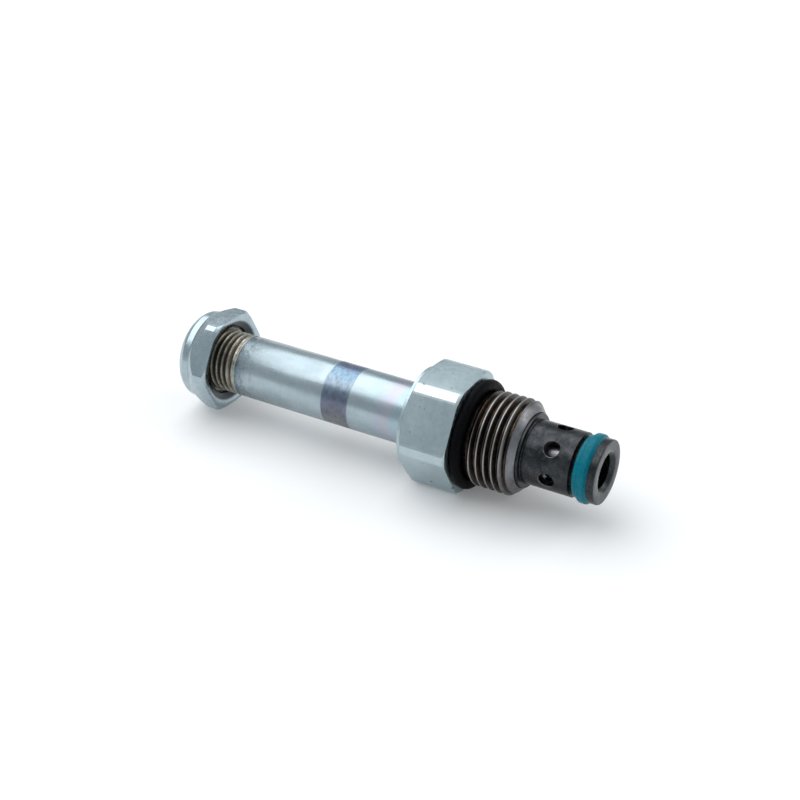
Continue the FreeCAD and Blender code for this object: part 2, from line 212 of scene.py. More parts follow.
def hex_angles(half_flats, radii, turn, density=0.6):
    """Column angles for a hexagon that meet the given radii on its flats. density is columns a degree."""
    cuts = sorted({0.0, 30.0} | {math.degrees(math.acos(half_flats / r)) for r in radii})
    half = []
    for low, high in zip(cuts, cuts[1:]):
        count = max(1, round((high - low) * density))
        half += [low + (high - low) * k / count for k in range(count)]
    sector = [-a for a in reversed(half[1:])] + half + [30.0]
    angles = [turn - 30.0]
    for k in range(6):
        angles += [turn + 60 * k + a for a in sector]
    return [math.radians(a) for a in angles]


def hex_radius(half_flats, corner_r, turn):
    """Radius of a hexagon with turned corners, as a function of theta."""
    def radius(theta):
        away = (theta - math.radians(turn) + math.pi / 6) % (math.pi / 3) - math.pi / 6
        return min(corner_r, half_flats / math.cos(away))
    return radius


def sweep_rows(mesh, rows, angles, closed=True):
    """Adds the quads between rows of points to a bmesh. A closed section joins its last row to its first."""
    grid = [[mesh.verts.new(place(*f(t), t)) for t in angles] for f, _ in rows]
    count = len(rows) if closed else len(rows) - 1
    for i in range(count):
        one, two = grid[i], grid[(i + 1) % len(rows)]
        for j in range(len(angles) - 1):
            face = mesh.faces.new((one[j], one[j + 1], two[j + 1], two[j]))
            face.material_index = rows[i][1]


def soften_edges(mesh, width, angle, keep):
    """Bevels the edges that turn by more than the angle, in degrees, and whose points pass the keep test."""
    limit = math.radians(angle)
    found = []
    for edge in mesh.edges:
        if len(edge.link_faces) == 2 and edge.calc_face_angle(0) > limit:
            if all(keep(v.co.x / MM, math.hypot(v.co.y, v.co.z) / MM) for v in edge.verts):
                found.append(edge)
    bmesh.ops.bevel(mesh, geom=found, offset=width * MM, offset_type="OFFSET", segments=2, profile=0.5,
                    affect="EDGES", clamp_overlap=True)


def tidy(mesh):
    """Merges the seam and collapsed rows, and turns the faces outward."""
    bmesh.ops.remove_doubles(mesh, verts=mesh.verts, dist=MERGE * MM)
    bmesh.ops.dissolve_degenerate(mesh, edges=mesh.edges, dist=MERGE * MM / 2)
    bmesh.ops.recalc_face_normals(mesh, faces=mesh.faces)


def finish_piece(name, mesh, body, node, skins, smooth_angle=32):
    """Turns a bmesh into an object that rides on a body and stands for its CAD node."""
    data = bpy.data.meshes.new(name)
    mesh.to_mesh(data)
    mesh.free()
    data.shade_smooth()
    data.set_sharp_from_angle(angle=math.radians(smooth_angle))
    for skin in skins:
        data.materials.append(skin)
    piece = bpy.data.objects.new(name, data)
    bpy.context.scene.collection.objects.link(piece)
    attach(piece, body)
    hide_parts(node)
    return piece


def ring_groove(x, wall_r, floor_r):
    """The outline of a square groove for a wire ring, towards +X."""
    low, high = x - WIRE_SEAT, x + WIRE_SEAT
    return [(low, wall_r), (low, floor_r), (high, floor_r), (high, wall_r)]


def lathe_piece(name, outline, body, node, skin, segments=144):
    """A closed section of (x, radius) points turned about the axis."""
    mesh = bmesh.new()
    sweep_rows(mesh, rings(outline), even_angles(segments))
    tidy(mesh)
    return finish_piece(name, mesh, body, node, [skin])


def thread_profile(pitch, crest, root, crest_half, root_half, crest_edge, root_edge, spacing=0.09):
    """One pitch of thread from groove centre to groove centre, as (axial, radius) points."""
    outline = [
        (0, root),
        (root_half, root),
        (pitch / 2 - crest_half, crest),
        (pitch / 2 + crest_half, crest),
        (pitch - root_half, root),
        (pitch, root),
    ]
    soft = rounded(outline, [root_edge, crest_edge, crest_edge, root_edge])
    fine = [soft[0]]
    for (u0, r0), (u1, r1) in zip(soft, soft[1:]):
        parts = max(1, math.ceil((u1 - u0) / spacing))
        fine += [(u0 + (u1 - u0) * k / parts, r0 + (r1 - r0) * k / parts) for k in range(1, parts + 1)]
    return fine


def thread_rows(profile, pitch, phase, start, stop, first_angle, trim, skin=0):
    """Rows that follow a right-hand helix from one (x, radius) point to another.

    phase is the x of a groove centre at -90 degrees, and trim(x, radius) keeps the thread inside its blank.
    """
    offset = phase + pitch * (first_angle + math.pi / 2) / TAU
    low = math.floor((start[0] - offset) / pitch) - 1
    high = math.ceil((stop[0] - offset) / pitch)
    rows = []
    for k in range(low, high + 1):
        for u, r in profile[:-1]:

            def point(theta, base=offset + k * pitch + u, r=r):
                x = base + pitch * (theta - first_angle) / TAU
                if x <= start[0]:
                    return start
                if x >= stop[0]:
                    return stop
                return x, trim(x, r)
            rows.append((point, skin))
    return rows


def outer_profile(major, pitch, spacing=0.09):
    """Profile of an external 60 degree thread with a flat crest an eighth of the pitch wide."""
    middle = major - 0.375 * math.sqrt(3) / 2 * pitch
    root = major - 0.6134 * pitch
    root_half = pitch / 4 - (middle - root) * SLOPE_60
    return thread_profile(pitch, major, root, pitch / 16, root_half, 0.05, 0.16, spacing)


# ---------------------------------------------------------------- material tools

class Look:
    """A Principled material, with short calls that add nodes. Coordinates are in the part's frame, in mm."""

    def __init__(self, name, metallic, **constants):
        self.material = bpy.data.materials.new(name)
        self.material.use_nodes = True
        self.nodes = self.material.node_tree.nodes
        self.links = self.material.node_tree.links
        self.principled = self.nodes["Principled BSDF"]
        self.principled.inputs["Metallic"].default_value = metallic
        for socket, value in constants.items():
            self.principled.inputs[socket.replace("_", " ")].default_value = value
        where = self.nodes.new("ShaderNodeTexCoord").outputs["Object"]
        self.place = self.vector_math("SCALE", where, scale=1 / MM)
        split = self.nodes.new("ShaderNodeSeparateXYZ")
        self.put(self.place, split.inputs[0])
        self.x, self.y, self.z = split.outputs

    def put(self, value, socket):
        """Links a socket, or sets a plain value."""
        if isinstance(value, bpy.types.NodeSocket):
            self.links.new(value, socket)
        else:
            socket.default_value = value

    def vector_math(self, operation, a, b=None, scale=None):
        node = self.nodes.new("ShaderNodeVectorMath")
        node.operation = operation
        self.put(a, node.inputs[0])
        if b is not None:
            self.put(b, node.inputs[1])
        if scale is not None:
            node.inputs["Scale"].default_value = scale
        return node.outputs[0]

    def math(self, operation, a, b=0.0):
        node = self.nodes.new("ShaderNodeMath")
        node.operation = operation
        self.put(a, node.inputs[0])
        self.put(b, node.inputs[1])
        return node.outputs[0]

    def radius(self):
        """Distance from the valve's axis."""
        return self.math("SQRT", self.math("ADD", self.math("MULTIPLY", self.y, self.y),
                                           self.math("MULTIPLY", self.z, self.z)))

    def angle(self):
        """Angle about the axis, in degrees, from -180 to 180."""
        return self.math("MULTIPLY", self.math("ARCTAN2", self.z, self.y), math.degrees(1))

    def noise(self, scale, stretch=(1, 1, 1), detail=3.0, roughness=0.55, distortion=0.0, shift=0.0):
        """Noise from 0 to 1. scale is in cycles a millimetre, multiplied along each axis by stretch."""
        node = self.nodes.new("ShaderNodeTexNoise")
        moved = self.vector_math("MULTIPLY_ADD", self.place, stretch)
        moved.node.inputs[2].default_value = (shift, shift * 0.7, shift * 1.3)
        self.put(moved, node.inputs["Vector"])
        node.inputs["Scale"].default_value = scale
        node.inputs["Detail"].default_value = detail
        node.inputs["Roughness"].default_value = roughness
        node.inputs["Distortion"].default_value = distortion
        return node.outputs["Fac"]

    def spread(self, value, low, high, to_low=0.0, to_high=1.0):
        """Maps low..high smoothly to to_low..to_high."""
        node = self.nodes.new("ShaderNodeMapRange")
        node.interpolation_type = "SMOOTHSTEP"
        self.put(value, node.inputs["Value"])
        for socket, number in zip(("From Min", "From Max", "To Min", "To Max"), (low, high, to_low, to_high)):
            node.inputs[socket].default_value = number
        return node.outputs["Result"]

    def mix(self, share, a, b, blend="MIX"):
        """Mixes two colours."""
        node = self.nodes.new("ShaderNodeMix")
        node.data_type = "RGBA"
        node.blend_type = blend
        self.put(share, node.inputs["Factor"])
        for socket, value in (("A", a), ("B", b)):
            colour = value if isinstance(value, bpy.types.NodeSocket) else (*value, 1.0)
            self.put(colour, [s for s in node.inputs if s.name == socket and s.type == "RGBA"][0])
        return [s for s in node.outputs if s.type == "RGBA"][0]

    def ramp(self, value, stops):
        """A colour ramp with (position, colour) stops."""
        node = self.nodes.new("ShaderNodeValToRGB")
        elements = node.color_ramp.elements
        while len(elements) < len(stops):
            elements.new(0.5)
        for element, (position, colour) in zip(elements, stops):
            element.position = position
            element.color = (*colour, 1.0)
        self.put(value, node.inputs["Fac"])
        return node.outputs["Color"]

    def finish(self, colour, roughness, height=None, depth=0.01, strength=1.0):
        """Connects the colour, roughness and a bump whose full height is depth millimetres."""
        self.put(colour, self.principled.inputs["Base Color"])
        self.put(roughness, self.principled.inputs["Roughness"])
        if height is not None:
            bump = self.nodes.new("ShaderNodeBump")
            bump.inputs["Strength"].default_value = strength
            bump.inputs["Distance"].default_value = depth * MM
            self.put(height, bump.inputs["Height"])
            self.put(bump.outputs["Normal"], self.principled.inputs["Normal"])
        return self.material


# ---------------------------------------------------------------- materials

def zinc_hex():
    """Satin zinc on milled flats: fine grain, faint cloudy patches, a few small dark dings, and lighter
    corners, faintly worn all round and brightened towards the top as a painted highlight.
    """
    look = Look("zinc_hex", 1.0)
    cloud = look.noise(0.18, detail=3)
    grain = look.noise(7.0, detail=2, shift=3)
    ding = look.spread(look.noise(0.9, detail=1, shift=11), 0.735, 0.79)
    colour = look.mix(look.spread(cloud, 0.35, 0.7), (0.40, 0.495, 0.525), (0.45, 0.545, 0.575))
    colour = look.mix(look.spread(grain, 0.3, 0.75, 0.0, 0.4), colour, (0.31, 0.385, 0.41))
    # Painted highlight: the corners are lightened a little all round as wear, and strongly towards the top
    # (+Z), where the overhead light falls.
    corner = look.spread(look.radius(), HEX_CORNER_R - 0.25, HEX_CORNER_R - 0.12)
    worn_and_highlit_corner = look.mix(look.spread(grain, 0.4, 0.75), (0.66, 0.74, 0.75), (0.50, 0.58, 0.60))
    colour = look.mix(look.math("MULTIPLY", corner, look.spread(look.z, 0.0, 6.0, 0.2, 1.0)), colour, worn_and_highlit_corner)
    colour = look.mix(ding, colour, (0.10, 0.11, 0.12))
    roughness = look.spread(look.noise(1.2, detail=3, shift=5), 0.3, 0.7, 0.31, 0.43)
    return look.finish(colour, roughness, grain, 0.012)


def zinc_tube():
    """Bright zinc on a turned tube: lathe lines round it, smudges, and a faint rainbow near the hexagon."""
    look = Look("zinc_tube", 1.0)
    lines = look.noise(9.0, (1, 0.02, 0.02), detail=3, roughness=0.7)
    smudge = look.noise(0.16, (0.6, 1, 1), detail=5, roughness=0.6)
    colour = look.mix(look.spread(smudge, 0.35, 0.65), (0.33, 0.405, 0.44), (0.40, 0.475, 0.515))
    colour = look.mix(look.spread(lines, 0.35, 0.75, 0.0, 0.30), colour, (0.24, 0.29, 0.32))
    hue = look.math("ADD", look.math("MULTIPLY", look.x, 0.11), look.noise(0.12, detail=2, shift=7))
    rainbow = look.ramp(look.math("FRACT", hue), [
        (0.0, (0.34, 0.45, 0.53)),
        (0.3, (0.34, 0.49, 0.50)),
        (0.55, (0.43, 0.42, 0.53)),
        (0.8, (0.48, 0.41, 0.48)),
        (1.0, (0.34, 0.45, 0.53)),
    ])
    near_hex = look.math("MULTIPLY", look.spread(look.x, -24.0, -14.0), 0.55)
    colour = look.mix(near_hex, colour, rainbow)
    blotch = look.noise(0.75, (1, 0.7, 0.7), detail=6, roughness=0.72, shift=13)
    scuff = look.math("MULTIPLY", look.spread(blotch, 0.47, 0.68), look.spread(look.x, -44.0, -50.5))
    colour = look.mix(look.math("MULTIPLY", scuff, 0.65), colour, (0.12, 0.15, 0.16))
    roughness = look.spread(look.noise(0.5, (0.3, 1, 1), detail=4, shift=2), 0.3, 0.7, 0.24, 0.36)
    return look.finish(colour, roughness, lines, 0.006)


def heat_tint_and_painted_light():
    """The non-magnetic ring: blue and violet heat colours that turn with the angle, mixed with a painted
    highlight near 110 to 130 degrees and painted shade near 150 to 170 degrees, with lighter, zinc-grey
    edges.
    """
    look = Look("heat_tint_and_painted_light", 1.0)
    wobble = look.math("MULTIPLY", look.math("SUBTRACT", look.noise(0.35, detail=4), 0.5), 0.10)
    degrees = look.math("MODULO", look.math("ADD", look.angle(), 360.0), 360.0)
    turn = look.math("ADD", look.math("DIVIDE", degrees, 360.0), wobble)
    # Painted highlight and shade: the ramp is lighter from about 110 to 130 degrees and darker from about 150
    # to 170 degrees, where the overhead light and the dim surroundings fall; the blue and violet hues are the
    # ring's heat colours.
    colour = look.ramp(turn, [
        (0.00, (0.25, 0.26, 0.26)),
        (0.17, (0.16, 0.15, 0.24)),
        (0.22, (0.19, 0.21, 0.32)),
        (0.26, (0.18, 0.26, 0.37)),
        (0.31, (0.22, 0.34, 0.44)),
        (0.35, (0.27, 0.34, 0.40)),
        (0.39, (0.21, 0.27, 0.335)),
        (0.43, (0.15, 0.19, 0.26)),
        (0.47, (0.165, 0.18, 0.24)),
        (0.52, (0.17, 0.175, 0.20)),
        (0.56, (0.23, 0.24, 0.25)),
        (1.00, (0.25, 0.26, 0.26)),
    ])
    lines = look.noise(9.0, (1, 0.02, 0.02), detail=3, roughness=0.7)
    colour = look.mix(look.spread(lines, 0.35, 0.8, 0.0, 0.35), colour, (0.09, 0.10, 0.13))
    mottle = look.noise(1.1, (1.4, 0.8, 0.8), detail=5, roughness=0.65, shift=8)
    colour = look.mix(look.spread(mottle, 0.45, 0.68, 0.0, 0.5), colour, (0.085, 0.10, 0.15))
    from_start = look.math("SUBTRACT", look.x, RING_START)
    edge = look.math("MINIMUM", from_start, look.math("SUBTRACT", RING_END, look.x))
    colour = look.mix(look.spread(edge, 0.0, 0.2, 0.5, 0.0), colour, (0.38, 0.46, 0.50))
    roughness = look.spread(look.noise(0.7, detail=3, shift=4), 0.3, 0.7, 0.26, 0.40)
    return look.finish(colour, roughness, lines, 0.006)


def zinc_nut():
    """Bright bluish zinc on the nut, with painted shade that darkens its countersunk mouth almost to black.
    """
    look = Look("zinc_nut", 1.0)
    cloud = look.noise(0.25, detail=4, shift=1)
    grain = look.noise(4.0, detail=2, shift=9)
    colour = look.mix(look.spread(cloud, 0.35, 0.7), (0.36, 0.44, 0.48), (0.42, 0.50, 0.54))
    colour = look.mix(look.spread(grain, 0.4, 0.8, 0.0, 0.3), colour, (0.26, 0.32, 0.36))
    # Painted shade: the countersink and the front of the bore turn almost black, where shade falls inside the
    # nut's mouth.
    mouth = look.math("MULTIPLY", look.spread(look.radius(), NUT_MOUTH_R - 0.1, NUT_MOUTH_R - 0.7),
                      look.spread(look.x, NUT_FRONT - 4.0, NUT_FRONT - 3.0, 0.0, 0.93))
    colour = look.mix(mouth, colour, (0.022, 0.024, 0.025))
    roughness = look.spread(look.noise(1.0, detail=3, shift=5), 0.3, 0.7, 0.20, 0.31)
    return look.finish(colour, roughness, grain, 0.008)


def stud_thread():
    """Stud thread: thin yellowish zinc with patchy dirt and stains; the grooves' darkness and the crests'
    lightness are painted shade and painted highlight, and painted shade darkens what lies inside the nut.
    """
    look = Look("stud_thread", 1.0)
    dirt = look.noise(1.6, detail=4)
    # Painted shade and highlight: by radius, the grooves are near black and the crests lighter, where shade
    # falls in the grooves and light catches the crests.
    crest = look.spread(look.radius(), 5.85, 6.32)
    colour = look.mix(crest, (0.10, 0.09, 0.075), (0.42, 0.42, 0.37))
    colour = look.mix(look.spread(dirt, 0.45, 0.7, 0.0, 0.6), colour, (0.09, 0.07, 0.055))
    stain = look.noise(0.8, (1, 0.5, 0.5), detail=5, shift=4)
    colour = look.mix(look.spread(stain, 0.42, 0.62, 0.0, 0.5), colour, (0.15, 0.12, 0.085))
    # Painted shade: at radii of 6.6 mm and more, which only the nut's sink wall reaches, the colour turns
    # almost black, where shade falls inside the nut.
    colour = look.mix(look.spread(look.radius(), 6.6, 6.9), colour, (0.05, 0.052, 0.055))
    # Painted shade: behind the nut's front face, on the stud inside the nut and on the nut's own thread, the
    # colour is darkened by up to 0.35, where shade falls inside the nut.
    painted_nut_shade = look.spread(look.x, NUT_FRONT + 1.0, NUT_FRONT - 1.5, 0.0, 0.35)
    colour = look.mix(painted_nut_shade, colour, (0.05, 0.046, 0.038))
    roughness = look.spread(dirt, 0.3, 0.7, 0.34, 0.5)
    return look.finish(colour, roughness, dirt, 0.02)


def port_thread():
    """Port thread: near-black roots with brown stains and lighter crests, the roots' darkness being painted
    shade and the crests' lightness a painted highlight, painted shade by the hexagon, and a grey bright end
    chamfer.
    """
    look = Look("port_thread", 1.0)
    stain = look.noise(0.9, (1, 0.4, 0.4), detail=5, roughness=0.65)
    # Painted shade and highlight: by radius, the roots are near black and the crests lighter, where shade
    # falls in the grooves and light catches the crests; the brown in the roots follows stains.
    root = look.mix(look.spread(stain, 0.4, 0.65), (0.030, 0.026, 0.024), (0.085, 0.062, 0.046))
    crest = look.spread(look.radius(), 9.36, 9.50)
    colour = look.mix(crest, root, (0.30, 0.29, 0.285))
    end = look.spread(look.x, 9.7, 10.3)
    outside = look.spread(look.radius(), 8.95, 9.25)
    cone = look.spread(look.x, 11.0, 11.35)
    worn = look.math("MAXIMUM", look.math("MULTIPLY", end, outside), cone)
    bare = look.mix(look.spread(stain, 0.4, 0.7), (0.20, 0.205, 0.215), (0.12, 0.117, 0.115))
    colour = look.mix(worn, colour, bare)
    # Painted shade: the thread's start and the relief beside the O-ring, by the hexagon, turn almost black.
    colour = look.mix(look.spread(look.x, 2.6, 1.6), colour, (0.02, 0.02, 0.022))
    roughness = look.spread(look.noise(1.5, detail=3, shift=6), 0.3, 0.7, 0.28, 0.44)
    return look.finish(colour, roughness, stain, 0.01)


def dark_oxide():
    """Blackened steel cage: mottled, with paler rubbed stains and short scratches."""
    look = Look("dark_oxide", 1.0)
    mottle = look.noise(0.55, detail=6, roughness=0.65, distortion=0.6)
    fine = look.noise(5.0, (0.5, 1, 1), detail=3, shift=2)
    colour = look.mix(look.spread(mottle, 0.38, 0.72), (0.024, 0.028, 0.032), (0.066, 0.067, 0.070))
    colour = look.mix(look.spread(fine, 0.5, 0.85, 0.0, 0.4), colour, (0.14, 0.14, 0.142))
    face = look.spread(look.x, NOSE_END - 0.25, NOSE_END - 0.05)
    nose = look.mix(look.spread(fine, 0.35, 0.7), (0.046, 0.050, 0.053), (0.064, 0.068, 0.071))
    colour = look.mix(face, colour, nose)
    roughness = look.spread(mottle, 0.3, 0.7, 0.25, 0.40)
    return look.finish(colour, roughness, fine, 0.008)


def worn_and_highlit_rim():
    """Bare steel where the oxide is rubbed off the ports' rims, lighter than the oxide both as wear and as a
    painted highlight.
    """
    look = Look("worn_and_highlit_rim", 1.0)
    fine = look.noise(3.0, detail=3)
    # Painted highlight: the rim colour is lighter than the oxide, partly as worn bare steel and partly as a
    # painted highlight on the rims.
    colour = look.mix(look.spread(fine, 0.35, 0.7), (0.10, 0.10, 0.102), (0.20, 0.20, 0.198))
    return look.finish(colour, look.spread(fine, 0.3, 0.7, 0.3, 0.42), fine, 0.006)


def plain_steel(name, colour, dark, rough):
    """Ground or drawn steel and brass for the hidden pieces."""
    look = Look(name, 1.0)
    grind = look.noise(6.0, (1, 0.08, 0.08), detail=3, roughness=0.7)
    tone = look.mix(look.spread(grind, 0.3, 0.75), colour, dark)
    return look.finish(tone, look.spread(grind, 0.3, 0.7, rough, rough + 0.12), grind, 0.005)


def soft_seal(name, colour, dark, rough, shine=0.5, grain=1.5):
    """Rubber and plastic: faint tone changes and a slightly uneven skin."""
    look = Look(name, 0.0, Specular_IOR_Level=shine)
    skin = look.noise(grain, detail=4)
    tone = look.mix(look.spread(skin, 0.35, 0.7), colour, dark)
    roughness = look.spread(look.noise(0.6, detail=3, shift=3), 0.3, 0.7, rough, rough + 0.12)
    return look.finish(tone, roughness, skin, 0.01)


ZINC_HEX = zinc_hex()
ZINC_TUBE = zinc_tube()
HEAT_TINT_AND_PAINTED_LIGHT = heat_tint_and_painted_light()
ZINC_NUT = zinc_nut()
STUD_THREAD = stud_thread()
PORT_THREAD = port_thread()
DARK_OXIDE = dark_oxide()
WORN_AND_HIGHLIT_RIM = worn_and_highlit_rim()
GROUND_STEEL = plain_steel("ground_steel", (0.55, 0.55, 0.56), (0.40, 0.40, 0.42), 0.24)
HARD_STEEL = plain_steel("hard_steel", (0.30, 0.30, 0.31), (0.20, 0.20, 0.21), 0.26)
SPRING_WIRE_LOOK = plain_steel("spring_wire", (0.48, 0.48, 0.50), (0.34, 0.34, 0.36), 0.28)
BRASS = plain_steel("brass", (0.72, 0.56, 0.28), (0.58, 0.43, 0.20), 0.28)
TEAL_SEAL = soft_seal("teal_polyurethane", (0.001, 0.165, 0.225), (0.001, 0.125, 0.175), 0.28, 0.12)
BLACK_RUBBER = soft_seal("black_rubber", (0.0015, 0.0016, 0.002), (0.003, 0.0032, 0.004), 0.40, 0.04)
NYLON = soft_seal("nylon", (0.62, 0.62, 0.56), (0.52, 0.52, 0.46), 0.38)
BACKUP = soft_seal("backup_ring", (0.75, 0.75, 0.70), (0.65, 0.65, 0.60), 0.42)


# ---------------------------------------------------------------- the pieces

def hex_adapter():
    """Hexagon, washer face, O-ring relief, port thread and the sockets inside."""
    radius = hex_radius(HEX_HALF_FLATS, HEX_CORNER_R, HEX_TURN)
    seat_r = HEX_CORNER_R - SEAT_BEVEL
    washer_top = ADAPTER_START + WASHER_HEIGHT
    slope = HEX_BEVEL_LENGTH / (HEX_CORNER_R - WASHER_R)
    angles = hex_angles(HEX_HALF_FLATS, (HEX_CORNER_R, seat_r), HEX_TURN)

    def bevel_edge(theta):
        return washer_top + (radius(theta) - WASHER_R) * slope, radius(theta)

    def seat_edge(theta):
        return -max(0.0, radius(theta) - seat_r), radius(theta)

    def seat_ring(theta):
        return 0.0, min(radius(theta), seat_r)

    def blank(x, r):
        lead_in = RELIEF_R + (x - RELIEF_END)
        chamfer = PORT_R - (x - PORT_END) * (PORT_R - LIP_R) / (LIP_END - PORT_END)
        return min(r, lead_in, chamfer)

    face = [(ADAPTER_START + 0.2, TUBE_SOCKET_R), (ADAPTER_START, TUBE_SOCKET_R + 0.2)]
    washer_edge = [(ADAPTER_START, WASHER_R - 0.5), (ADAPTER_START, WASHER_R), (washer_top, WASHER_R)]
    face += rounded(washer_edge, 0.12)
    rows = rings(face)
    rows += [(bevel_edge, 0), (seat_edge, 0), (seat_ring, 0)]
    rows += rings([(0.0, RELIEF_R + 0.5), (0.12, RELIEF_R)], 1)
    rows += thread_rows(outer_profile(PORT_R, PORT_PITCH), PORT_PITCH, PORT_PHASE, (RELIEF_END, RELIEF_R),
                        (LIP_END - 0.15, LIP_R + 0.16), angles[0], blank, 1)
    rows += rings([
        (LIP_END - 0.03, LIP_R + 0.05),
        (LIP_END, LIP_R - 0.04),
        (LIP_END, CAGE_SOCKET_R + 0.05),
        (LIP_END - 0.06, CAGE_SOCKET_R),
    ], 1)
    rows += rings(ring_groove(CAGE_RING_X, CAGE_SOCKET_R, CAGE_SOCKET_R + WIRE_SEAT)[::-1], 1)
    web = [(WEB_END, CAGE_SOCKET_R), (WEB_END, WEB_R), (WEB_START, WEB_R), (WEB_START, TUBE_SOCKET_R)]
    rows += rings(web)
    rows += rings(ring_groove(TUBE_RING_X, TUBE_SOCKET_R, TUBE_RING_R + WIRE_SEAT)[::-1])
    seal_start, seal_end = TUBE_SEAL_GROOVE
    rows += rings([
        (seal_end, TUBE_SOCKET_R),
        (seal_end, TUBE_SEAL_GROOVE_R),
        (seal_start, TUBE_SEAL_GROOVE_R),
        (seal_start, TUBE_SOCKET_R),
    ])
    mesh = bmesh.new()
    sweep_rows(mesh, rows, angles)
    tidy(mesh)
    soften_edges(mesh, 0.07, 14, lambda x, r: x < 0.05 and r > WASHER_R + 0.02)
    return finish_piece("adapter", mesh, "valve_body", "hex_adapter", [ZINC_HEX, PORT_THREAD])


def pole_piece():
    """Upper tube and stud, with the thread's runout before the shoulder."""
    angles = even_angles(160)
    crest = STUD_R

    def blank(x, r):
        if x > RUNOUT_START:
            share = min(1.0, (x - RUNOUT_START) / (RUNOUT_END - RUNOUT_START))
            r = r + (crest - r) * share
        return min(r, STUD_POINT_R + 0.15 + (x - STUD_START))

    point = [(STUD_END, 0.0)]
    point += rounded([(STUD_END, 1.0), (STUD_END, STUD_POINT_R), (STUD_START, STUD_POINT_R)], 0.3)
    rows = rings(point, 1)
    profile = outer_profile(STUD_R, STUD_PITCH, 0.08)
    rows += thread_rows(profile, STUD_PITCH, STUD_PHASE, (STUD_START, STUD_POINT_R),
                        (RUNOUT_END, STUD_R), angles[0], blank, 1)
    shoulder = [
        (POLE_SHOULDER - 0.02, STUD_R),
        (POLE_SHOULDER, TUBE_R - 0.14),
        (POLE_SHOULDER + 0.05, TUBE_R - 0.14),
        (POLE_SHOULDER + 0.3, TUBE_R),
        (RING_START - 0.03, TUBE_R),
        (RING_START, TUBE_R - 0.03),
        (RING_START, SPIGOT_R),
        (POLE_FACE, SPIGOT_R),
        (POLE_FACE, POCKET_R),
        (POLE_FACE - POCKET_DEPTH, POCKET_R),
        (POLE_FACE - POCKET_DEPTH, 0.0),
    ]
    rows += rings(shoulder, 0)
    mesh = bmesh.new()
    sweep_rows(mesh, rows, angles, closed=False)
    tidy(mesh)
    looks = [ZINC_TUBE, STUD_THREAD]
    return finish_piece("pole_and_stud", mesh, "valve_body", "pole_piece", looks)


def sleeve(name, start, stop, groove, node, skin):
    """A stretch of the tube with hair-fine edge breaks at its joints, and perhaps a groove in its outside."""
    edge = 0.03
    outline = [(start, TUBE_BORE_R), (start, TUBE_R - edge), (start + edge, TUBE_R)]
    outline += groove
    outline += [(stop - edge, TUBE_R), (stop, TUBE_R - edge), (stop, TUBE_BORE_R)]
    return lathe_piece(name, outline, "valve_body", node, skin)


def coil_nut():
    """Thin hexagon nut: bevelled mouth, conical shoulder, collar with a rolled lip, and its thread."""
    radius = hex_radius(NUT_HALF_FLATS, NUT_CORNER_R, NUT_TURN)
    angles = hex_angles(NUT_HALF_FLATS, (NUT_CORNER_R, NUT_FRONT_R), NUT_TURN)
    bevel_slope = NUT_BEVEL / (NUT_CORNER_R - NUT_FRONT_R)
    middle = STUD_R - 0.375 * math.sqrt(3) / 2 * STUD_PITCH
    groove_half = STUD_PITCH / 4 - (NUT_MAJOR_R - middle) * SLOPE_60 + NUT_FLANK_GAP
    mouth_half = STUD_PITCH / 4 + (middle - NUT_MINOR_R) * SLOPE_60 + NUT_FLANK_GAP
    profile = thread_profile(STUD_PITCH, NUT_MINOR_R, NUT_MAJOR_R, STUD_PITCH / 2 - mouth_half, groove_half,
                             0.03, 0.03, 0.2)

    def front_face(theta):
        return NUT_FRONT, min(radius(theta), NUT_FRONT_R)

    def front_edge(theta):
        return NUT_FRONT - max(0.0, radius(theta) - NUT_FRONT_R) * bevel_slope, radius(theta)

    def rear_edge(theta):
        return NUT_CONE_START - (NUT_CORNER_R - radius(theta)) / NUT_CONE_SLOPE, radius(theta)

    cone_end = NUT_CONE_START - (NUT_CORNER_R - NUT_COLLAR_R) / NUT_CONE_SLOPE
    rows = rings([(NUT_FRONT, NUT_MOUTH_R)])
    rows += [(front_face, 0), (front_edge, 0), (rear_edge, 0)]
    collar = rounded([
        (cone_end + 0.2, NUT_COLLAR_R + 0.13),
        (cone_end, NUT_COLLAR_R),
        (NUT_REAR + 1.7, NUT_COLLAR_R),
        (NUT_REAR + 0.8, NUT_COLLAR_R - 0.6),
        (NUT_REAR, NUT_COLLAR_R - 1.6),
        (NUT_REAR, LOCK_LIP_R),
        (LOCK_START - 0.1, LOCK_LIP_R),
    ], [0.3, 0.9, 0.9, 0.25, 0.15], steps=5)
    rows += rings(collar)
    rows += rings([
        (LOCK_START - 0.05, LOCK_LIP_R),
        (LOCK_START - 0.05, LOCK_POCKET_R),
        (LOCK_END + 0.05, LOCK_POCKET_R),
    ])
    phase = STUD_PHASE + NUT_LEAD * STUD_PITCH
    rows += thread_rows(profile, STUD_PITCH, phase, (LOCK_END + 0.05, NUT_MINOR_R),
                        (NUT_SINK_FLOOR, NUT_MINOR_R + 0.3), angles[0], lambda x, r: r, 1)
    rows += rings([(NUT_SINK_FLOOR, NUT_SINK_R)], 1)
    rows += rings([(NUT_FRONT - NUT_SINK_DEPTH, NUT_SINK_R)])
    mesh = bmesh.new()
    sweep_rows(mesh, rows, angles)
    tidy(mesh)
    soften_edges(mesh, 0.08, 14, lambda x, r: r > NUT_COLLAR_R + 0.2)
    return finish_piece("nut_body", mesh, "nut", "coil_nut", [ZINC_NUT, STUD_THREAD])


def patch_edge(half_length, columns):
    """The border of one side port's patch of wall, as (turn, along) points."""
    half_turn = math.pi / HOLE_COUNT
    steps = [2 * k / columns - 1 for k in range(columns)]
    edge = [(half_turn * t, -half_length) for t in steps]
    edge += [(half_turn, half_length * t) for t in steps]
    edge += [(-half_turn * t, half_length) for t in steps]
    return edge + [(-half_turn, -half_length * t) for t in steps]


